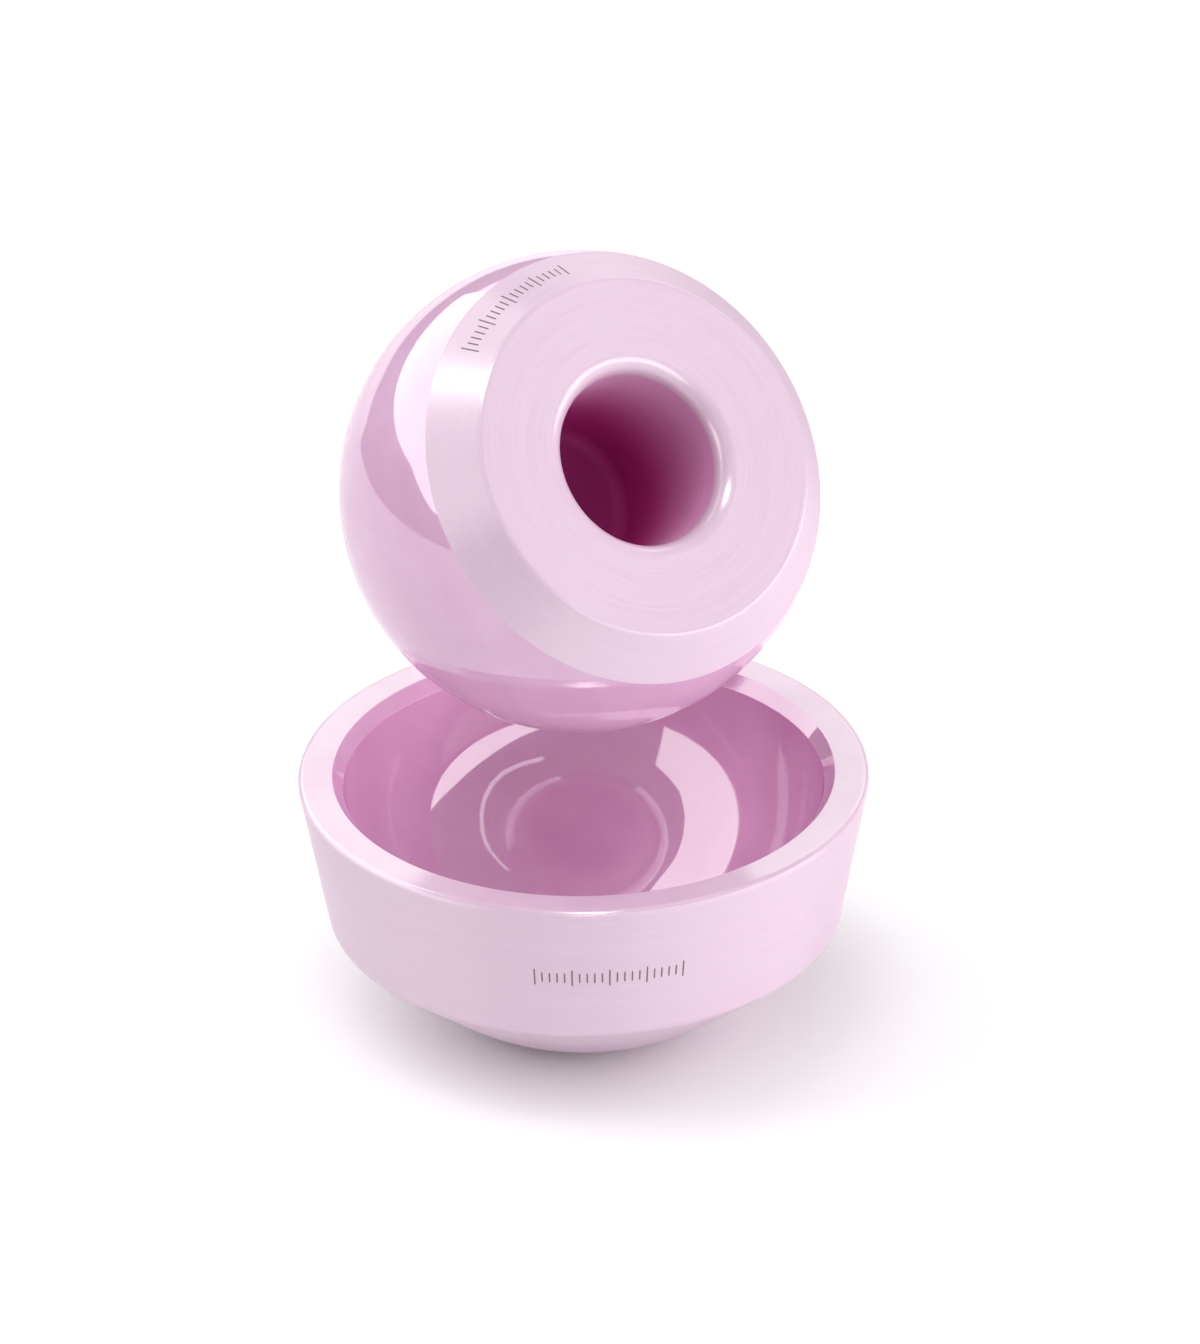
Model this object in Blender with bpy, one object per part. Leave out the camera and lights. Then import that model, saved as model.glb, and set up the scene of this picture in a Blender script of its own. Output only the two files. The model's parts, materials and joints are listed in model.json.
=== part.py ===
"""Ceramic hip bearing: a modular ball head held over its cup insert.

The cup insert stands on its foot, centred on the world origin, with its axis
on +Z.  The ball head hangs above it on that same axis, with its bore turned
up and to the front (-Y).  Sliding straight down by BALL_LIFT seats it.
All lengths are in metres.
"""

from math import acos, asin, atan2, cos, hypot, pi, radians, sin, sqrt, tan

import bpy
from mathutils import Vector

MM = 0.001

# Ball head
HEAD_RADIUS = 18.0 * MM          # 36 mm nominal head
BEVEL_START = radians(66.8)      # polar angle where the bevel leaves the sphere
BEVEL_SLOPE = radians(48.3)      # climb of the bevel, from the plane of the face
BEVEL_LENGTH = 4.3 * MM
FACE_EDGE_RADIUS = 0.6 * MM      # rounding between face and bevel
BORE_RADIUS = 6.6 * MM           # at the face, before its mouth is rounded
BORE_HALF_ANGLE = radians(2.8625)
BORE_DEPTH = 14.5 * MM           # from the face to the bore's floor
BORE_FLOOR_RADIUS = 1.0 * MM     # rounding around the bore's floor
MOUTH_RADIUS = 1.35 * MM         # rounding of the bore's mouth

# Fit between the two bearing surfaces
BEARING_CLEARANCE = 0.25 * MM    # radial gap, wide enough for faceted surfaces

# Cup insert
SEAT_RISE = 1.0 * MM             # the bearing surface's centre is this far above the rim
LIP_DEPTH = 1.0 * MM             # bearing surface starts this far below the rim
LIP_WIDTH = 0.81 * MM            # the lip flares outwards by this much
LIP_EDGE_RADIUS = 0.15 * MM
RIM_WIDTH = 2.67 * MM            # flat rim, measured over its rounded edges
RIM_EDGE_RADIUS = 0.45 * MM
TAPER_HEIGHT = 11.75 * MM        # from the rim down to the lower corner
TAPER_HALF_ANGLE = radians(10.8)
LOWER_EDGE_RADIUS = 1.2 * MM
DOME_WALL = 4.0 * MM             # wall at the pole, from the bearing surface to the dome
FOOT_RADIUS = 7.5 * MM           # flat pole that the cup stands on

# How the head is held over the cup
BALL_LIFT = 22.9 * MM            # from the seated place up to the place at rest
BORE_ELEVATION = radians(38.0)   # climb of the bore's axis, which points to -Y

# Facets
TURN_STEPS = 64
SPHERE_STEPS = 18
CAVITY_STEPS = 14
DOME_STEPS = 4
EDGE_STEPS = 3
MERGE_DISTANCE = 0.002 * MM

# Worked out from the sizes above
CAVITY_RADIUS = HEAD_RADIUS + BEARING_CLEARANCE
DOME_RADIUS = CAVITY_RADIUS - SEAT_RISE + DOME_WALL
RIM_HEIGHT = sqrt(DOME_RADIUS**2 - FOOT_RADIUS**2)
BALL_HEIGHT = RIM_HEIGHT + SEAT_RISE + BALL_LIFT


def arc(radius, start, end, steps):
    """Points on a circle about the profile's origin, both ends included."""
    angles = [start + (end - start) * i / steps for i in range(steps + 1)]
    return [Vector((radius * cos(a), radius * sin(a))) for a in angles]


def rounded(corners):
    """A polyline through (r, z, radius) corners, with each corner rounded."""
    points = [Vector((r, z)) for r, z, _ in corners]
    outline = [points[0]]
    for i in range(1, len(points) - 1):
        outline += fillet(points[i - 1], points[i], points[i + 1], corners[i][2])
    outline.append(points[-1])
    return outline


def fillet(before, corner, after, radius):
    """The rounded corner between two straight lines, as points of its arc."""
    if radius == 0:
        return [corner]
    back = (before - corner).normalized()
    ahead = (after - corner).normalized()
    half = back.angle(ahead) / 2
    centre = corner + (back + ahead).normalized() * (radius / sin(half))
    reach = radius / tan(half)
    first = corner + back * reach - centre
    last = corner + ahead * reach - centre
    sweep = first.angle(last)
    points = []
    for i in range(EDGE_STEPS + 1):
        t = i / EDGE_STEPS
        part = (first * sin((1 - t) * sweep) + last * sin(t * sweep)) / sin(sweep)
        points.append(centre + part)
    return points


def head_profile():
    """The ball head's half section: bore floor, bore, face, bevel, sphere."""
    bevel_r = HEAD_RADIUS * sin(BEVEL_START)
    bevel_z = HEAD_RADIUS * cos(BEVEL_START)
    face_r = bevel_r - BEVEL_LENGTH * cos(BEVEL_SLOPE)
    face_z = bevel_z + BEVEL_LENGTH * sin(BEVEL_SLOPE)
    floor_r = BORE_RADIUS - BORE_DEPTH * tan(BORE_HALF_ANGLE)
    floor_z = face_z - BORE_DEPTH
    outline = rounded([
        (0, floor_z, 0),
        (floor_r, floor_z, BORE_FLOOR_RADIUS),
        (BORE_RADIUS, face_z, MOUTH_RADIUS),
        (face_r, face_z, FACE_EDGE_RADIUS),
        (bevel_r, bevel_z, 0),
    ])
    return outline + arc(HEAD_RADIUS, pi / 2 - BEVEL_START, -pi / 2, SPHERE_STEPS)[1:]


def cup_profile():
    """The cup insert's half section, with z = 0 in the plane of its rim."""
    lip_angle = -asin((LIP_DEPTH + SEAT_RISE) / CAVITY_RADIUS)
    cavity = arc(CAVITY_RADIUS, -pi / 2, lip_angle, CAVITY_STEPS)
    for point in cavity:
        point.y += SEAT_RISE
    lip_r = cavity[-1].x
    rim_inner = lip_r + LIP_WIDTH
    rim_outer = rim_inner + RIM_WIDTH
    lower_r = rim_outer - TAPER_HEIGHT * tan(TAPER_HALF_ANGLE)
    # The underside leaves the lower corner on a tangent to the dome.
    corner_angle = atan2(-TAPER_HEIGHT, lower_r)
    tangent_turn = acos(DOME_RADIUS / hypot(lower_r, TAPER_HEIGHT))
    foot_angle = -acos(FOOT_RADIUS / DOME_RADIUS)
    dome = arc(DOME_RADIUS, corner_angle - tangent_turn, foot_angle, DOME_STEPS)
    outline = rounded([
        (lip_r, -LIP_DEPTH, 0),
        (rim_inner, 0, LIP_EDGE_RADIUS),
        (rim_outer, 0, RIM_EDGE_RADIUS),
        (lower_r, -TAPER_HEIGHT, LOWER_EDGE_RADIUS),
        (dome[0].x, dome[0].y, 0),
    ])
    foot = Vector((0, dome[-1].y))
    return cavity[:-1] + outline + dome[1:] + [foot]


def turned(name, profile, material):
    """A closed body turned about +Z from a half section that starts and ends on the axis."""
    mesh = bpy.data.meshes.new(name)
    profile[0].x = 0
    profile[-1].x = 0
    points = [(p.x, 0, p.y) for p in profile]
    edges = [(i, i + 1) for i in range(len(points) - 1)]
    mesh.from_pydata(points, edges, [])
    piece = bpy.data.objects.new(name, mesh)
    bpy.context.collection.objects.link(piece)
    mesh.materials.append(material)
    screw = piece.modifiers.new("turn", "SCREW")
    screw.axis = "Z"
    screw.steps = TURN_STEPS
    screw.render_steps = TURN_STEPS
    screw.use_merge_vertices = True
    screw.merge_threshold = MERGE_DISTANCE
    screw.use_smooth_shade = True
    return piece


def ceramic(name, colour, roughness):
    """A dense pink oxide ceramic with the given sheen."""
    material = bpy.data.materials.new(name)
    material.use_nodes = True
    shader = material.node_tree.nodes["Principled BSDF"]
    shader.inputs["Base Color"].default_value = (*colour, 1)
    shader.inputs["Roughness"].default_value = roughness
    shader.inputs["Metallic"].default_value = 0
    return material


def build_cup_insert():
    """The cup insert, standing on its foot at the origin."""
    material = ceramic("insert_ceramic", (0.72, 0.42, 0.62), 0.2)
    cup = turned("cup_insert", cup_profile(), material)
    cup.location = (0, 0, RIM_HEIGHT)
    return cup


def build_ball_head():
    """The ball head, with its origin at the ball's centre, over the cup."""
    material = ceramic("head_ceramic", (0.76, 0.46, 0.66), 0.15)
    head = turned("ball_head", head_profile(), material)
    head.location = (0, 0, BALL_HEIGHT)
    head.rotation_euler = (pi / 2 - BORE_ELEVATION, 0, 0)
    return head


def main():
    for item in list(bpy.data.objects):
        bpy.data.objects.remove(item, do_unlink=True)
    build_cup_insert()
    build_ball_head()


main()
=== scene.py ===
import json
import math
import bpy
from mathutils import Matrix, Vector


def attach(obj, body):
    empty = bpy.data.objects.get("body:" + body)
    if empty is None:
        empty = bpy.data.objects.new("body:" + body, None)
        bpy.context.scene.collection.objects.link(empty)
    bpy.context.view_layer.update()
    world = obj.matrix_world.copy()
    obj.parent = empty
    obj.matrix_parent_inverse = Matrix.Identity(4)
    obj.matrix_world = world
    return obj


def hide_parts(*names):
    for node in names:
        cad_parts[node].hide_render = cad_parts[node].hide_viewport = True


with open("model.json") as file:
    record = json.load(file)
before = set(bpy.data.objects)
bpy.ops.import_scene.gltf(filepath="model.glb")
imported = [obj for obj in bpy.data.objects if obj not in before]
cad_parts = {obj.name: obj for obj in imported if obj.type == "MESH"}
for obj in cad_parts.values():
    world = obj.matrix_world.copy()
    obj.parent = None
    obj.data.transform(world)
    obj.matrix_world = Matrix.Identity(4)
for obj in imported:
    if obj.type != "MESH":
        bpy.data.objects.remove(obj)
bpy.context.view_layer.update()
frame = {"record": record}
print("frame loaded")

mm = 0.001
mounts = {m["name"]: m for m in frame["record"]["mounts"]}
boreAxis = Vector(mounts["head_face"]["axis"]).normalized()
facePoint = Vector(mounts["head_face"]["pos_m"])
rimHeight = mounts["rim"]["pos_m"][2]
cupUp = Vector((0, 0, 1))


def linearColour(code, alpha=1.0):
    # sRGB hex to the linear values that shaders take
    parts = [int(code[i:i + 2], 16) / 255 for i in (1, 3, 5)]
    linear = [c / 12.92 if c <= 0.04045 else ((c + 0.055) / 1.055) ** 2.4 for c in parts]
    return (*linear, alpha)


def addNode(tree, kind, settings=None, links=None):
    # one node, with its properties or socket values, and what feeds its sockets
    node = tree.nodes.new(kind)
    for name, value in (settings or {}).items():
        if isinstance(name, str) and hasattr(node, name):
            setattr(node, name, value)
        else:
            node.inputs[name].default_value = value
    for name, source in (links or {}).items():
        tree.links.new(source, node.inputs[name])
    return node


# A half section is a list of (radius, height, zone) in millimetres, from the axis back to the axis.
# A zone is a place in this list, and says which finish the surface from that point on has.
zoneNames = ("Polished", "Ground", "Bore", "Lapped", "Honed")
polished, ground, bored, lapped, honed = range(len(zoneNames))
holdShare, holdLimit = 0.12, 0.06      # of a rounding's radius, and millimetres
mergeDistance = 0.0005                 # millimetres, closes seams and poles


def arcPoints(radius, start, end, steps, zone):
    points = []
    for i in range(steps + 1):
        angle = math.radians(start + (end - start) * i / steps)
        points.append((radius * math.cos(angle), radius * math.sin(angle), zone))
    return points


def roundCorner(before, corner, after, radius, steps):
    # the arc between two straight lines, with a close point on each line to hold the shading
    back = (before - corner).normalized()
    ahead = (after - corner).normalized()
    half = back.angle(ahead) / 2
    centre = corner + (back + ahead).normalized() * (radius / math.sin(half))
    reach = radius / math.tan(half)
    hold = min(holdShare * radius, holdLimit)
    first = corner + back * reach
    last = corner + ahead * reach
    sweep = (first - centre).angle(last - centre)
    points = [first + back * hold]
    for i in range(steps + 1):
        t = i / steps
        a = math.sin((1 - t) * sweep) / math.sin(sweep)
        b = math.sin(t * sweep) / math.sin(sweep)
        points.append(centre + (first - centre) * a + (last - centre) * b)
    points.append(last + ahead * hold)
    return points


def roundedLine(corners):
    # corners are (radius, height, rounding, steps, zone of the line that follows)
    places = [Vector((c[0], c[1])) for c in corners]
    points = [(*places[0], corners[0][4])]
    for i in range(1, len(corners) - 1):
        rounding, steps = corners[i][2], corners[i][3]
        if rounding == 0:
            points.append((*places[i], corners[i][4]))
            continue
        arc = roundCorner(places[i - 1], places[i], places[i + 1], rounding, steps)
        for j, p in enumerate(arc):
            zone = corners[i - 1][4] if j < len(arc) // 2 else corners[i][4]
            points.append((p.x, p.y, zone))
    points.append((*places[-1], corners[-1][4]))
    return points


def turningTree():
    # Geometry Nodes that turn a half section about the axis, and keep its zones and its length
    tree = bpy.data.node_groups.new("turnedBody", "GeometryNodeTree")
    face = tree.interface
    face.new_socket("Half Section", in_out="INPUT", socket_type="NodeSocketGeometry")
    face.new_socket("Turn Steps", in_out="INPUT", socket_type="NodeSocketInt")
    face.new_socket("Merge Distance", in_out="INPUT", socket_type="NodeSocketFloat")
    for name in zoneNames:
        face.new_socket(name, in_out="INPUT", socket_type="NodeSocketMaterial")
    face.new_socket("Body", in_out="OUTPUT", socket_type="NodeSocketGeometry")
    given = addNode(tree, "NodeGroupInput").outputs
    size = addNode(tree, "GeometryNodeAttributeDomainSize", {"component": "MESH"},
                   {"Geometry": given["Half Section"]})
    columns = addNode(tree, "ShaderNodeMath", {"operation": "ADD", 1: 1.0},
                      {0: given["Turn Steps"]})
    grid = addNode(tree, "GeometryNodeMeshGrid", {},
                   {"Vertices X": columns.outputs[0], "Vertices Y": size.outputs["Point Count"]})
    index = addNode(tree, "GeometryNodeInputIndex").outputs[0]
    row = addNode(tree, "ShaderNodeMath", {"operation": "MODULO"},
                  {0: index, 1: size.outputs["Point Count"]})
    share = addNode(tree, "ShaderNodeMath", {"operation": "DIVIDE"},
                    {0: index, 1: size.outputs["Point Count"]})
    column = addNode(tree, "ShaderNodeMath", {"operation": "FLOOR"}, {0: share.outputs[0]})
    turn = addNode(tree, "ShaderNodeMath", {"operation": "DIVIDE"},
                   {0: column.outputs[0], 1: given["Turn Steps"]})
    angle = addNode(tree, "ShaderNodeMath", {"operation": "MULTIPLY", 1: 2 * math.pi},
                    {0: turn.outputs[0]})
    place = addNode(tree, "GeometryNodeInputPosition").outputs[0]
    onSection = addNode(tree, "GeometryNodeSampleIndex", {"data_type": "FLOAT_VECTOR"},
                        {"Geometry": given["Half Section"], "Value": place,
                         "Index": row.outputs[0]})
    split = addNode(tree, "ShaderNodeSeparateXYZ", {}, {0: onSection.outputs[0]})
    cosine = addNode(tree, "ShaderNodeMath", {"operation": "COSINE"}, {0: angle.outputs[0]})
    sine = addNode(tree, "ShaderNodeMath", {"operation": "SINE"}, {0: angle.outputs[0]})
    across = addNode(tree, "ShaderNodeMath", {"operation": "MULTIPLY"},
                     {0: split.outputs["X"], 1: cosine.outputs[0]})
    along = addNode(tree, "ShaderNodeMath", {"operation": "MULTIPLY"},
                    {0: split.outputs["X"], 1: sine.outputs[0]})
    turned = addNode(tree, "ShaderNodeCombineXYZ", {},
                     {"X": across.outputs[0], "Y": along.outputs[0], "Z": split.outputs["Z"]})
    body = addNode(tree, "GeometryNodeSetPosition", {},
                   {"Geometry": grid.outputs["Mesh"], "Position": turned.outputs[0]})
    run = addNode(tree, "GeometryNodeInputNamedAttribute", {"data_type": "FLOAT", "Name": "run"})
    runHere = addNode(tree, "GeometryNodeSampleIndex", {"data_type": "FLOAT"},
                      {"Geometry": given["Half Section"], "Value": run.outputs[0],
                       "Index": row.outputs[0]})
    # the map is kept on points first, because corners have their own index
    layout = addNode(tree, "ShaderNodeCombineXYZ", {},
                     {"X": turn.outputs[0], "Y": runHere.outputs[0]})
    laid = addNode(tree, "GeometryNodeStoreNamedAttribute",
                   {"data_type": "FLOAT_VECTOR", "domain": "POINT", "Name": "layout"},
                   {"Geometry": body.outputs[0], "Value": layout.outputs[0]})
    kept = addNode(tree, "GeometryNodeInputNamedAttribute",
                   {"data_type": "FLOAT_VECTOR", "Name": "layout"})
    mapped = addNode(tree, "GeometryNodeStoreNamedAttribute",
                     {"data_type": "FLOAT2", "domain": "CORNER", "Name": "turnMap"},
                     {"Geometry": laid.outputs[0], "Value": kept.outputs[0]})
    rows = addNode(tree, "ShaderNodeMath", {"operation": "SUBTRACT", 1: 1.0},
                   {0: size.outputs["Point Count"]})
    faceRow = addNode(tree, "ShaderNodeMath", {"operation": "MODULO"},
                      {0: index, 1: rows.outputs[0]})
    zone = addNode(tree, "GeometryNodeInputNamedAttribute", {"data_type": "FLOAT", "Name": "zone"})
    zoneHere = addNode(tree, "GeometryNodeSampleIndex", {"data_type": "FLOAT"},
                       {"Geometry": given["Half Section"], "Value": zone.outputs[0],
                        "Index": faceRow.outputs[0]})
    zoned = addNode(tree, "GeometryNodeStoreNamedAttribute",
                    {"data_type": "FLOAT", "domain": "FACE", "Name": "zone"},
                    {"Geometry": mapped.outputs[0], "Value": zoneHere.outputs[0]})
    closed = addNode(tree, "GeometryNodeMergeByDistance", {},
                     {"Geometry": zoned.outputs[0], "Distance": given["Merge Distance"]})
    smooth = addNode(tree, "GeometryNodeSetShadeSmooth", {}, {"Geometry": closed.outputs[0]})
    real = addNode(tree, "GeometryNodeRealizeInstances", {}, {"Geometry": smooth.outputs[0]})
    shown = real
    for number, name in enumerate(zoneNames):
        here = addNode(tree, "ShaderNodeMath", {"operation": "COMPARE", 1: float(number), 2: 0.5},
                       {0: zone.outputs[0]})
        shown = addNode(tree, "GeometryNodeSetMaterial", {},
                        {"Geometry": shown.outputs[0], "Selection": here.outputs[0],
                         "Material": given[name]})
    addNode(tree, "NodeGroupOutput", {}, {"Body": shown.outputs[0]})
    return tree


def setInput(modifier, name, value):
    for item in modifier.node_group.interface.items_tree:
        if item.in_out == "INPUT" and item.name == name:
            modifier[item.identifier] = value


def plainMesh(source, name):
    # what the modifiers make, as a plain mesh in a new object; the source goes
    bpy.context.view_layer.update()
    graph = bpy.context.evaluated_depsgraph_get()
    mesh = bpy.data.meshes.new_from_object(source.evaluated_get(graph), depsgraph=graph)
    source.modifiers.clear()
    bpy.data.objects.remove(source, do_unlink=True)
    mesh.name = name
    piece = bpy.data.objects.new(name, mesh)
    bpy.context.collection.objects.link(piece)
    return piece


def turnedPiece(name, section, steps, finishes, place):
    # run is the length walked along the section, which the marks and the bore's painted shade
    # follow
    mesh = bpy.data.meshes.new(name + "Section")
    points = [(r * mm, 0, h * mm) for r, h, _ in section]
    mesh.from_pydata(points, [(i, i + 1) for i in range(len(points) - 1)], [])
    zone = mesh.attributes.new("zone", "FLOAT", "POINT")
    run = mesh.attributes.new("run", "FLOAT", "POINT")
    length = 0.0
    for i, (r, h, z) in enumerate(section):
        if i:
            length += math.hypot(r - section[i - 1][0], h - section[i - 1][1])
        zone.data[i].value = z
        run.data[i].value = length
    source = bpy.data.objects.new(name + "Section", mesh)
    bpy.context.collection.objects.link(source)
    turning = source.modifiers.new("turning", "NODES")
    turning.node_group = turnedBody
    setInput(turning, "Turn Steps", steps)
    setInput(turning, "Merge Distance", mergeDistance * mm)
    for key, material in finishes.items():
        setInput(turning, key, material)
    piece = plainMesh(source, name)
    piece.data.transform(place)
    if signedVolume(piece.data) < 0:      # the faces point inwards
        piece.data.flip_normals()
    return piece


def signedVolume(mesh):
    mesh.calc_loop_triangles()
    total = 0.0
    for t in mesh.loop_triangles:
        a, b, c = (mesh.vertices[i].co for i in t.vertices)
        total += a.dot(b.cross(c)) / 6
    return total


def tickTree():
    # a row of raised bars on a cone about the axis, with a long bar at every so many
    tree = bpy.data.node_groups.new("tickRow", "GeometryNodeTree")
    face = tree.interface
    for name in ("Count", "Long Every"):
        face.new_socket(name, in_out="INPUT", socket_type="NodeSocketInt")
    for name in ("First Angle", "Step Angle", "Width", "Thickness", "Long Length", "Short Length",
                 "Cone Radius", "Cone Height", "Cone Lean"):
        face.new_socket(name, in_out="INPUT", socket_type="NodeSocketFloat")
    face.new_socket("Material", in_out="INPUT", socket_type="NodeSocketMaterial")
    face.new_socket("Row", in_out="OUTPUT", socket_type="NodeSocketGeometry")
    given = addNode(tree, "NodeGroupInput").outputs
    points = addNode(tree, "GeometryNodeMeshLine", {"Offset": (0, 0, 0)}, {"Count": given["Count"]})
    index = addNode(tree, "GeometryNodeInputIndex").outputs[0]
    angle = addNode(tree, "ShaderNodeMath", {"operation": "MULTIPLY_ADD"},
                    {0: index, 1: given["Step Angle"], 2: given["First Angle"]})
    turn = addNode(tree, "ShaderNodeCombineXYZ", {}, {"Z": angle.outputs[0]})
    beat = addNode(tree, "ShaderNodeMath", {"operation": "MODULO"},
                   {0: index, 1: given["Long Every"]})
    isLong = addNode(tree, "ShaderNodeMath", {"operation": "LESS_THAN", 1: 0.5},
                     {0: beat.outputs[0]})
    isShort = addNode(tree, "ShaderNodeMath", {"operation": "GREATER_THAN", 1: 0.5},
                      {0: beat.outputs[0]})
    place = addNode(tree, "ShaderNodeCombineXYZ", {},
                    {"X": given["Cone Radius"], "Z": given["Cone Height"]})
    lean = addNode(tree, "ShaderNodeCombineXYZ", {}, {"Y": given["Cone Lean"]})
    rows = []
    for length, chosen in (("Long Length", isLong), ("Short Length", isShort)):
        size = addNode(tree, "ShaderNodeCombineXYZ", {},
                       {"X": given["Thickness"], "Y": given["Width"], "Z": given[length]})
        bar = addNode(tree, "GeometryNodeMeshCube", {}, {"Size": size.outputs[0]})
        leaned = addNode(tree, "GeometryNodeTransform", {},
                         {"Geometry": bar.outputs["Mesh"], "Translation": place.outputs[0],
                          "Rotation": lean.outputs[0]})
        rows.append(addNode(tree, "GeometryNodeInstanceOnPoints", {},
                            {"Points": points.outputs[0], "Selection": chosen.outputs[0],
                             "Instance": leaned.outputs[0], "Rotation": turn.outputs[0]}))
    joined = addNode(tree, "GeometryNodeJoinGeometry")
    for row in rows:
        tree.links.new(row.outputs[0], joined.inputs[0])
    real = addNode(tree, "GeometryNodeRealizeInstances", {}, {"Geometry": joined.outputs[0]})
    shown = addNode(tree, "GeometryNodeSetMaterial", {},
                    {"Geometry": real.outputs[0], "Material": given["Material"]})
    addNode(tree, "NodeGroupOutput", {}, {"Row": shown.outputs[0]})
    return tree


def tickRow(name, s, radius, height, lean, place):
    # s holds degrees and millimetres; the row is centred on (radius, height) of the cone
    mesh = bpy.data.meshes.new(name + "Seed")
    source = bpy.data.objects.new(name + "Seed", mesh)
    bpy.context.collection.objects.link(source)
    row = source.modifiers.new("row", "NODES")
    row.node_group = tickRowTree
    step = math.radians(s["span"]) / (s["count"] - 1)
    for key, value in {
        "Count": s["count"], "Long Every": s["longEvery"],
        "First Angle": math.radians(s["centre"] - s["span"] / 2), "Step Angle": step,
        "Width": s["width"] * mm, "Thickness": s["thickness"] * mm,
        "Long Length": s["longLength"] * mm, "Short Length": s["shortLength"] * mm,
        "Cone Radius": radius * mm, "Cone Height": height * mm, "Cone Lean": math.radians(lean),
        "Material": laserMark,
    }.items():
        setInput(row, key, value)
    piece = plainMesh(source, name)
    piece.data.transform(place)
    return piece


turnedBody = turningTree()
tickRowTree = tickTree()

# Sizes in these dictionaries are millimetres, and angles are degrees.
ceramicLook = {
    "bodyColour": "#D1A5C5",        # pink of the sintered body under a polish
    "bodyShade": "#C99CBD",
    "seatColourWithPaintedShade": "#DAA3CA",        # painted shade: the insert's bearing surface, a little deeper, for the shade that fills its hollow
    "seatCloudToneWithPaintedShade": "#D299C1",
    "groundColour": "#D0B5C8",      # fine scratches scatter white light back
    "groundShade": "#C9ACC1",
    "boreColourWithPaintedShade": "#D295BE",        # painted shade: the bore's ground wall, deeper than the ground colour because it is rough and hardly lit
    "boreCloudToneWithPaintedShade": "#C88AB2",
    # painted shade: the bore's colour deepens towards its floor, between these two lengths
    "deepShadeColour": "#B43484",
    "deepShadeEnds": 18.0,               # measured along the half section from the bore floor's middle
    "deepShadeStarts": 8.0,
    "floorColour": "#A4327A",       # painted shade, deepest, on the bore's floor and the rounding around it
    "floorEnds": 7.5,
    "floorStarts": 4.0,
    "markColour": "#866B79",
    "markShade": "#6E5361",
    "ior": 2.05,
    "polishedRoughness": 0.03,
    "hazeRoughness": 0.05,          # most that haze adds
    "hazeSize": 4.0,
    "groundRoughness": 0.36,
    "honedRoughness": 0.2,
    "lappedRoughness": 0.13,
    "boreRoughness": 0.5,
    "anisotropy": 0.97,
    "glow": 0.2,                    # share of light that scatters under the surface
    "glowDepth": 0.5,
    "cloudSize": 7.0,               # soft clouds in the sintered body
    "grainSize": 0.35,              # drawn coarser than the real grain of a few thousandths
    "grainRelief": 0.01,
    "markPitch": 0.16,              # grinding marks, drawn coarser than the real 0.02
    "markLength": 0.12,             # share of a turn that one mark runs
    "bandPitch": 1.44,              # broader, fainter bands from the wheel's passes
    "bandLength": 2.4,
    "bandShare": 0.35,
    "groundRelief": 0.008,
    "honedRelief": 0.004,
    "boreRelief": 0.02,
    "honedAnisotropy": 0.6,
    "boreAnisotropy": 0.3,
    "boreShine": 0.06,              # specular level of the bore, which hardly mirrors anything
    "speckleSize": 0.08,            # grains of the laser's dark marks
}


def newMaterial(name):
    material = bpy.data.materials.new(name)
    material.use_nodes = True
    material.node_tree.nodes.clear()
    return material


def ceramicBody(tree, light, dark, roughness, anisotropy=0.0):
    # the shader, with soft clouds of colour through the body
    look = ceramicLook
    place = addNode(tree, "ShaderNodeTexCoord").outputs["Object"]
    clouds = addNode(tree, "ShaderNodeTexNoise",
                     {"Scale": 1 / (look["cloudSize"] * mm), "Detail": 3.0, "Roughness": 0.5},
                     {"Vector": place})
    colour = addNode(tree, "ShaderNodeMix", {"data_type": "RGBA", 6: linearColour(light),
                                             7: linearColour(dark)})
    spread = addNode(tree, "ShaderNodeMapRange", {1: 0.35, 2: 0.65, 3: 0.0, 4: 1.0},
                     {0: clouds.outputs["Fac"]})
    tree.links.new(spread.outputs[0], colour.inputs[0])
    shader = addNode(tree, "ShaderNodeBsdfPrincipled", {
        "Roughness": roughness,
        "IOR": look["ior"],
        "Subsurface Weight": look["glow"],
        "Subsurface Radius": (1.0, 0.5, 0.85),
        "Subsurface Scale": look["glowDepth"] * mm,
        "Anisotropic": anisotropy,
        "Anisotropic Rotation": 0.25 if anisotropy else 0.0,    # streaks run across the marks
    }, {"Base Color": colour.outputs[2]})
    addNode(tree, "ShaderNodeOutputMaterial", {}, {"Surface": shader.outputs[0]})
    return shader, place, colour


def polishedCeramic(name, light, dark, roughness):
    # mirror polish: crisp reflections of the lights, with a breath of haze where wiping left it
    look = ceramicLook
    material = newMaterial(name)
    tree = material.node_tree
    shader, place, _ = ceramicBody(tree, light, dark, roughness)
    haze = addNode(tree, "ShaderNodeTexNoise",
                   {"Scale": 1 / (look["hazeSize"] * mm), "Detail": 5.0, "Roughness": 0.65},
                   {"Vector": place})
    rough = addNode(tree, "ShaderNodeMapRange",
                    {1: 0.45, 2: 0.75, 3: roughness, 4: roughness + look["hazeRoughness"]},
                    {0: haze.outputs["Fac"]})
    tree.links.new(rough.outputs[0], shader.inputs["Roughness"])
    grain = addNode(tree, "ShaderNodeTexNoise",
                    {"Scale": 1 / (look["grainSize"] * mm), "Detail": 2.0, "Roughness": 0.6},
                    {"Vector": place})
    bump = addNode(tree, "ShaderNodeBump", {"Strength": 0.02, "Distance": look["grainRelief"] * mm},
                   {"Height": grain.outputs["Fac"]})
    tree.links.new(bump.outputs[0], shader.inputs["Normal"])
    return material


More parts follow.
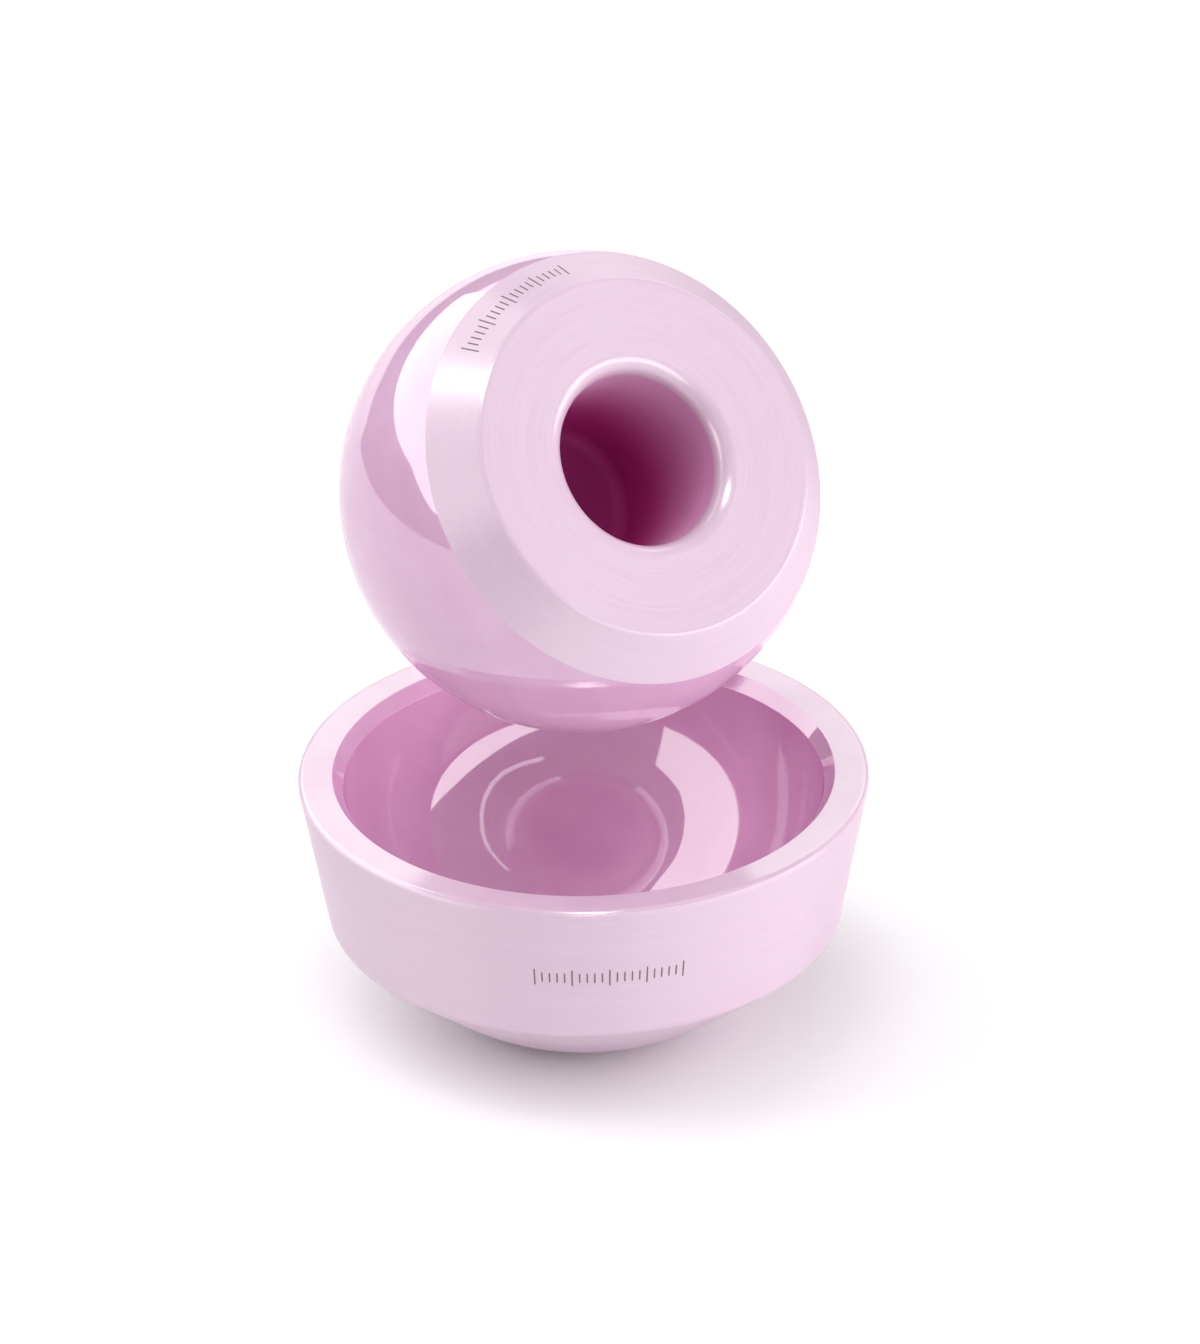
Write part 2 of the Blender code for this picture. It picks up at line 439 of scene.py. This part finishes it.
def turnedMarks(tree, pitch, length):
    # marks that run around the axis: pitch in millimetres, length as a share of a turn
    uv = addNode(tree, "ShaderNodeUVMap", {"uv_map": "turnMap"})
    stretch = addNode(tree, "ShaderNodeMapping", {"Scale": (1 / length, 1 / pitch, 1.0)},
                      {"Vector": uv.outputs[0]})
    return addNode(tree, "ShaderNodeTexNoise", {"Scale": 1.0, "Detail": 3.0, "Roughness": 0.7},
                   {"Vector": stretch.outputs[0]}).outputs["Fac"]


def groundCeramic(name, light, dark, roughness, anisotropy, relief):
    # diamond ground: satin, with fine marks around the axis that draw highlights out into streaks
    look = ceramicLook
    material = newMaterial(name)
    tree = material.node_tree
    shader, place, colour = ceramicBody(tree, light, dark, roughness, anisotropy)
    marks = turnedMarks(tree, look["markPitch"], look["markLength"])
    bands = turnedMarks(tree, look["bandPitch"], look["bandLength"])
    both = addNode(tree, "ShaderNodeMath", {"operation": "MULTIPLY_ADD", 1: look["bandShare"]},
                   {0: bands, 2: marks})
    shadeBy = addNode(tree, "ShaderNodeMapRange", {1: 0.45, 2: 0.95, 3: 0.0, 4: 1.0},
                      {0: both.outputs[0]})
    tree.links.new(shadeBy.outputs[0], colour.inputs[0])
    rough = addNode(tree, "ShaderNodeMapRange",
                    {1: 0.3, 2: 0.7, 3: roughness - 0.03, 4: roughness + 0.04}, {0: marks})
    tree.links.new(rough.outputs[0], shader.inputs["Roughness"])
    bump = addNode(tree, "ShaderNodeBump", {"Strength": 0.11, "Distance": relief * mm},
                   {"Height": both.outputs[0]})
    tree.links.new(bump.outputs[0], shader.inputs["Normal"])
    tangent = addNode(tree, "ShaderNodeTangent", {"direction_type": "UV_MAP", "uv_map": "turnMap"})
    tree.links.new(tangent.outputs[0], shader.inputs["Tangent"])
    return material


def boreCeramicWithPaintedShade():
    # ground near the mouth, with painted shade that deepens towards the bore's floor
    look = ceramicLook
    material = groundCeramic("boreGroundAluminaZirconiaWithPaintedShade", look["boreColourWithPaintedShade"], look["boreCloudToneWithPaintedShade"],
                             look["boreRoughness"], look["boreAnisotropy"], look["boreRelief"])
    tree = material.node_tree
    shader = next(n for n in tree.nodes if n.type == "BSDF_PRINCIPLED")
    uv = addNode(tree, "ShaderNodeUVMap", {"uv_map": "turnMap"})
    run = addNode(tree, "ShaderNodeSeparateXYZ", {}, {0: uv.outputs[0]})
    colour = shader.inputs["Base Color"].links[0].from_socket
    # two steps of painted shade, darker with depth along the bore
    for part in ("deepShade", "floor"):
        deep = addNode(tree, "ShaderNodeMapRange",
                       {"interpolation_type": "SMOOTHSTEP", 1: look[part + "Ends"],
                        2: look[part + "Starts"], 3: 0.0, 4: 1.0}, {0: run.outputs["Y"]})
        colour = addNode(tree, "ShaderNodeMix",
                         {"data_type": "RGBA", 7: linearColour(look[part + "Colour"])},
                         {0: deep.outputs[0], 6: colour}).outputs[2]
    tree.links.new(colour, shader.inputs["Base Color"])
    shader.inputs["Specular IOR Level"].default_value = look["boreShine"]
    return material


def laserMarking():
    # matt grey-brown, where a laser has darkened the ceramic
    look = ceramicLook
    material = newMaterial("laserDarkenedCeramic")
    tree = material.node_tree
    place = addNode(tree, "ShaderNodeTexCoord").outputs["Object"]
    speckle = addNode(tree, "ShaderNodeTexNoise",
                      {"Scale": 1 / (look["speckleSize"] * mm), "Detail": 2.0}, {"Vector": place})
    colour = addNode(tree, "ShaderNodeMix",
                     {"data_type": "RGBA", 6: linearColour(look["markColour"]),
                      7: linearColour(look["markShade"])}, {0: speckle.outputs["Fac"]})
    shader = addNode(tree, "ShaderNodeBsdfPrincipled",
                     {"Roughness": 0.7, "Specular IOR Level": 0.3},
                     {"Base Color": colour.outputs[2]})
    addNode(tree, "ShaderNodeOutputMaterial", {}, {"Surface": shader.outputs[0]})
    return material


def makeFinishes(look):
    # what each zone of the two pieces is finished with
    satin = groundCeramic("groundAluminaZirconia", look["groundColour"], look["groundShade"],
                          look["groundRoughness"], look["anisotropy"], look["groundRelief"])
    head = {
        "Polished": polishedCeramic("polishedAluminaZirconia", look["bodyColour"],
                                    look["bodyShade"], look["polishedRoughness"]),
        "Ground": satin,
        "Bore": boreCeramicWithPaintedShade(),
        "Honed": groundCeramic("honedMouthCeramic", look["groundColour"], look["groundShade"],
                               look["honedRoughness"], look["honedAnisotropy"],
                               look["honedRelief"]),
    }
    insert = {
        # the bearing surface's polish carries painted shade, a little deeper than the head's
        "Polished": polishedCeramic("polishedInsertCeramicWithPaintedShade", look["seatColourWithPaintedShade"],
                                    look["seatCloudToneWithPaintedShade"], look["polishedRoughness"]),
        "Ground": satin,
        "Lapped": polishedCeramic("lappedRimCeramic", look["groundColour"], look["groundShade"],
                                  look["lappedRoughness"]),
    }
    return head, insert


laserMark = laserMarking()
headFinishes, insertFinishes = makeFinishes(ceramicLook)
print("materials made")

ballHead = {
    "radius": 18.0,
    "bevelStart": 66.8,         # degrees from the bore's axis
    "bevelSlope": 48.3,
    "bevelLength": 4.3,
    "faceEdge": 0.6,
    "bevelEdge": 0.08,
    "boreRadius": 6.6,
    "boreHalfAngle": 2.8625,
    "boreDepth": 14.5,
    "boreFloorEdge": 1.0,
    "mouthEdge": 1.35,
    "sphereGap": 1.0,           # degrees between the bevel's edge and the sphere's first point
    "sphereSteps": 120,
    "turnSteps": 288,
}


def headSection(s):
    start = math.radians(s["bevelStart"])
    slope = math.radians(s["bevelSlope"])
    bevelR, bevelH = s["radius"] * math.sin(start), s["radius"] * math.cos(start)
    faceR = bevelR - s["bevelLength"] * math.cos(slope)
    faceH = bevelH + s["bevelLength"] * math.sin(slope)
    floorH = faceH - s["boreDepth"]
    floorR = s["boreRadius"] - s["boreDepth"] * math.tan(math.radians(s["boreHalfAngle"]))
    sphere = arcPoints(s["radius"], 90 - s["sphereGap"] - s["bevelStart"], -90,
                       s["sphereSteps"], polished)
    line = roundedLine([
        (0, floorH, 0, 0, bored),
        (floorR, floorH, s["boreFloorEdge"], 8, bored),
        (s["boreRadius"], faceH, s["mouthEdge"], 16, honed),
        (faceR, faceH, s["faceEdge"], 10, ground),
        (bevelR, bevelH, s["bevelEdge"], 4, polished),
        (sphere[0][0], sphere[0][1], 0, 0, polished),
    ])
    # the bore's wall ends where the mouth's rounding starts, and the face where it ends
    line = [(r, h, honed if z == bored and h > faceH - s["mouthEdge"] else z) for r, h, z in line]
    last = max(i for i, p in enumerate(line) if p[2] == honed)
    line[last] = (line[last][0], line[last][1], ground)
    return line + sphere[1:], faceH


def makeBallHead(s):
    section, faceH = headSection(s)
    section[0] = (0, section[0][1], bored)
    section[-1] = (0, section[-1][1], polished)
    centreZ = (facePoint.dot(boreAxis) - faceH * mm) / boreAxis.z
    turn = cupUp.rotation_difference(boreAxis).to_matrix().to_4x4()
    place = Matrix.Translation((0, 0, centreZ)) @ turn
    piece = turnedPiece("ballHead", section, s["turnSteps"], headFinishes, place)
    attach(piece, "ball_head")
    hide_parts("ball_head")
    return piece, place


headTicks = {
    "centre": 108,              # degrees about the bore's axis
    "span": 41,
    "count": 21,
    "longEvery": 5,
    "width": 0.11,
    "thickness": 0.03,
    "longLength": 1.5,
    "shortLength": 0.9,
    "alongBevel": 0.47,         # share of the bevel's length, from the sphere
}


def makeHeadTicks(s, head, place):
    slope = math.radians(head["bevelSlope"])
    start = math.radians(head["bevelStart"])
    along = s["alongBevel"] * head["bevelLength"]
    radius = head["radius"] * math.sin(start) - along * math.cos(slope)
    height = head["radius"] * math.cos(start) + along * math.sin(slope)
    piece = tickRow("headTicks", s, radius, height, head["bevelSlope"] - 90, place)
    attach(piece, "ball_head")
    return piece


headPiece, headPlace = makeBallHead(ballHead)
makeHeadTicks(headTicks, ballHead, headPlace)
print("ball head made:", len(headPiece.data.polygons), "faces")

cupInsert = {
    "cavityRadius": 18.25,
    "seatRise": 1.0,            # the bearing surface's centre is this far above the rim
    "lipDepth": 1.0,
    "lipWidth": 0.81,
    "lipEdge": 0.15,
    "seatEdge": 0.12,
    "rimWidth": 2.67,
    "rimEdge": 0.45,
    "taperHeight": 11.75,
    "taperHalfAngle": 10.8,
    "lowerEdge": 1.2,
    "domeWall": 4.0,            # at the pole
    "footRadius": 7.5,
    "cavityGap": 1.0,           # degrees between the cavity's last point and the lip
    "cavitySteps": 96,
    "domeSteps": 24,
    "turnSteps": 320,
}


def cupSection(s):
    lipAngle = -math.degrees(math.asin((s["lipDepth"] + s["seatRise"]) / s["cavityRadius"]))
    sphere = arcPoints(s["cavityRadius"], -90, lipAngle - s["cavityGap"],
                       s["cavitySteps"], polished)
    cavity = [(r, h + s["seatRise"], z) for r, h, z in sphere]
    lipR = s["cavityRadius"] * math.cos(math.radians(lipAngle))
    innerR = lipR + s["lipWidth"]
    outerR = innerR + s["rimWidth"]
    lowerR = outerR - s["taperHeight"] * math.tan(math.radians(s["taperHalfAngle"]))
    domeR = s["cavityRadius"] - s["seatRise"] + s["domeWall"]
    cornerAngle = math.degrees(math.atan2(-s["taperHeight"], lowerR))
    tangentTurn = math.degrees(math.acos(domeR / math.hypot(lowerR, s["taperHeight"])))
    footAngle = -math.degrees(math.acos(s["footRadius"] / domeR))
    dome = arcPoints(domeR, cornerAngle - tangentTurn, footAngle, s["domeSteps"], ground)
    line = roundedLine([
        (cavity[-1][0], cavity[-1][1], 0, 0, polished),
        (lipR, -s["lipDepth"], s["seatEdge"], 6, polished),
        (innerR, 0, s["lipEdge"], 6, lapped),
        (outerR, 0, s["rimEdge"], 10, ground),
        (lowerR, -s["taperHeight"], s["lowerEdge"], 12, ground),
        (dome[0][0], dome[0][1], 0, 0, ground),
    ])
    foot = [(0, dome[-1][1], ground)]
    return cavity[:-1] + line + dome[1:] + foot


def makeCupInsert(s):
    section = cupSection(s)
    section[0] = (0, section[0][1], polished)
    place = Matrix.Translation((0, 0, rimHeight))
    piece = turnedPiece("cupInsert", section, s["turnSteps"], insertFinishes, place)
    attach(piece, "cup_insert")
    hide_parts("cup_insert")
    return piece


cupTicks = {
    "centre": -121.5,           # degrees about the cup's axis
    "span": 31.5,
    "count": 21,
    "longEvery": 5,
    "width": 0.11,
    "thickness": 0.03,
    "longLength": 1.5,
    "shortLength": 0.9,
    "belowRim": 6.2,
}


def makeCupTicks(s, cup):
    lean = cup["taperHalfAngle"]
    rim = max(r for r, _, _ in cupSection({**cup, "rimEdge": 0}))
    radius = rim - s["belowRim"] * math.tan(math.radians(lean))
    place = Matrix.Translation((0, 0, rimHeight))
    piece = tickRow("cupTicks", s, radius, -s["belowRim"], lean, place)
    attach(piece, "cup_insert")
    return piece


cupPiece = makeCupInsert(cupInsert)
makeCupTicks(cupTicks, cupInsert)
print("cup insert made:", len(cupPiece.data.polygons), "faces")

# From here lengths are metres, except where mm is named.
studio = {
    "floorColour": "#F7F7F7",
    "floorRadius": 0.26,
    "airColour": "#FFFFFF",
    "airStrength": 0.42,
    "panelDistance": 0.50,
    "cameraAzimuth": -36.5,
    "cameraElevation": 28.93,
    "cameraDistance": 0.9959,
    "cameraLens": 355.5,
    "cameraRoll": -0.72,
    "aimAside": 1.33 * mm,
    "aimAboveRim": 8.47 * mm,
}


def direction(azimuth, elevation):
    # from the object, azimuth measured from the camera's side, positive to the camera's right
    a = math.radians(azimuth + studio["cameraAzimuth"])
    e = math.radians(elevation)
    return Vector((math.sin(a) * math.cos(e), -math.cos(a) * math.cos(e), math.sin(e)))


def addSoftbox(name, azimuth, elevation, distance, width, height, brightness,
               fills=True, glints=False):
    # brightness is the light's own radiance, where white paper in full light is about 1
    data = bpy.data.lights.new(name, "AREA")
    data.shape = "RECTANGLE"
    data.size, data.size_y = width, height
    data.energy = brightness * math.pi * width * height
    lamp = bpy.data.objects.new(name, data)
    bpy.context.collection.objects.link(lamp)
    back = direction(azimuth, elevation)
    lamp.location = Vector((0, 0, rimHeight)) + back * distance
    lamp.rotation_mode = "QUATERNION"
    lamp.rotation_quaternion = (-back).to_track_quat("-Z", "Y")
    lamp.visible_camera = False
    lamp.visible_diffuse = fills
    lamp.visible_glossy = glints      # most only fill, and the panels are what the gloss shows
    return lamp


def addPanel(name, brightness, edges, fills=False):
    # a curved panel, mostly for the gloss alone; edges are (azimuth, lower and upper elevation)
    points = [direction(azimuth, height) * studio["panelDistance"]
              for azimuth, lower, upper in edges for height in (lower, upper)]
    mesh = bpy.data.meshes.new(name)
    mesh.from_pydata(points, [], [(i, i + 1, i + 3, i + 2) for i in range(0, len(points) - 2, 2)])
    panel = bpy.data.objects.new(name, mesh)
    bpy.context.collection.objects.link(panel)
    panel.location = (0, 0, rimHeight)
    material = newMaterial(name + "Glow")
    glow = addNode(material.node_tree, "ShaderNodeEmission",
                   {"Color": linearColour("#FFFFFF"), "Strength": brightness})
    addNode(material.node_tree, "ShaderNodeOutputMaterial", {}, {"Surface": glow.outputs[0]})
    mesh.materials.append(material)
    panel.visible_camera = False
    panel.visible_diffuse = fills
    panel.visible_shadow = False


def makeFloor():
    bpy.ops.mesh.primitive_circle_add(vertices=128, radius=studio["floorRadius"], fill_type="NGON")
    floor = bpy.context.active_object
    floor.name = "floor"
    # matt coated paper, which scatters light evenly and shows only soft shadows
    material = newMaterial("paperSweep")
    shader = addNode(material.node_tree, "ShaderNodeBsdfPrincipled", {
        "Base Color": linearColour(studio["floorColour"]),
        "Roughness": 0.9,
        "Specular IOR Level": 0.2,
    })
    addNode(material.node_tree, "ShaderNodeOutputMaterial", {}, {"Surface": shader.outputs[0]})
    floor.data.materials.append(material)


def makeWorld():
    world = bpy.data.worlds.new("studioAir")
    bpy.context.scene.world = world
    world.use_nodes = True
    air = world.node_tree.nodes["Background"]
    air.inputs["Color"].default_value = linearColour(studio["airColour"])
    # as white as the floor where it is seen, and dimmer where it lights and mirrors
    seen = addNode(world.node_tree, "ShaderNodeLightPath").outputs["Is Camera Ray"]
    strength = addNode(world.node_tree, "ShaderNodeMapRange", {3: studio["airStrength"], 4: 1.0},
                       {0: seen})
    world.node_tree.links.new(strength.outputs[0], air.inputs["Strength"])
    bpy.context.scene.view_settings.view_transform = "Standard"


def makeCamera():
    back = direction(0, studio["cameraElevation"])
    right = direction(90, 0)
    aim = Vector((0, 0, rimHeight + studio["aimAboveRim"])) + right * studio["aimAside"]
    data = bpy.data.cameras.new("camera")
    data.lens = studio["cameraLens"]
    data.clip_start, data.clip_end = 0.01, 10
    camera = bpy.data.objects.new("camera", data)
    bpy.context.collection.objects.link(camera)
    camera.location = aim + back * studio["cameraDistance"]
    camera.rotation_mode = "QUATERNION"
    level = (-back).to_track_quat("-Z", "Y")
    roll = Matrix.Rotation(math.radians(studio["cameraRoll"]), 3, "Z").to_quaternion()
    camera.rotation_quaternion = level @ roll
    bpy.context.scene.camera = camera


# The softboxes give the light, and the panels give the shapes that the polish mirrors.
softboxes = [
    {"name": "leftFill", "azimuth": -100, "elevation": 40, "distance": 0.60,
     "width": 0.50, "height": 0.50, "brightness": 2.3},
    {"name": "rightFill", "azimuth": 98, "elevation": 24, "distance": 0.60,
     "width": 0.50, "height": 0.36, "brightness": 2.4},
    {"name": "frontFill", "azimuth": 0, "elevation": 60, "distance": 0.60,
     "width": 0.50, "height": 0.50, "brightness": 1.1},
    {"name": "topFill", "azimuth": -120, "elevation": 80, "distance": 0.60,
     "width": 0.40, "height": 0.40, "brightness": 2.2},
    {"name": "overheadSpot", "azimuth": 5, "elevation": 76, "distance": 0.40,
     "width": 0.030, "height": 0.030, "brightness": 330.0, "fills": False, "glints": True},
]
panels = [
    {"name": "leftPanel", "brightness": 3.4, "edges": [
        (-40, 2, 26.5), (-50, 2, 29.5), (-60, 2, 32.5), (-72, 4, 39), (-82, 8, 45),
        (-92, 12, 50.5), (-108, 12, 59), (-130, 12, 62), (-160, 12, 60)]},
    {"name": "rightPanel", "brightness": 3.6, "fills": True, "edges": [
        (17, -4, 12), (30, -4, 14.2), (37, -4, 15.6), (49, -4, 17.8), (62, -4, 19.3),
        (75, -4, 20), (100, -4, 17)]},
    {"name": "backPanel", "brightness": 2.3, "edges": [
        (140, 18, 46), (160, 18, 46), (180, 18, 46), (200, 18, 46), (215, 18, 46)]},
    {"name": "lowBackPanel", "brightness": 1.4, "edges": [
        (145, -16, 2), (170, -16, 2), (195, -16, 2), (215, -14, 0), (225, -12, -4)]},
    {"name": "archPanel", "brightness": 2.2, "edges": [
        (22, 26, 28), (35, 26, 28), (46, 26.4, 28.6), (55, 28.6, 30.8), (64, 32, 34.4),
        (72, 36.2, 38.8), (80, 41, 43.8), (87, 46, 49), (97, 56, 59)]},
]

makeFloor()
makeWorld()
makeCamera()
for softbox in softboxes:
    addSoftbox(**softbox)
for panel in panels:
    addPanel(**panel)
print("studio made")
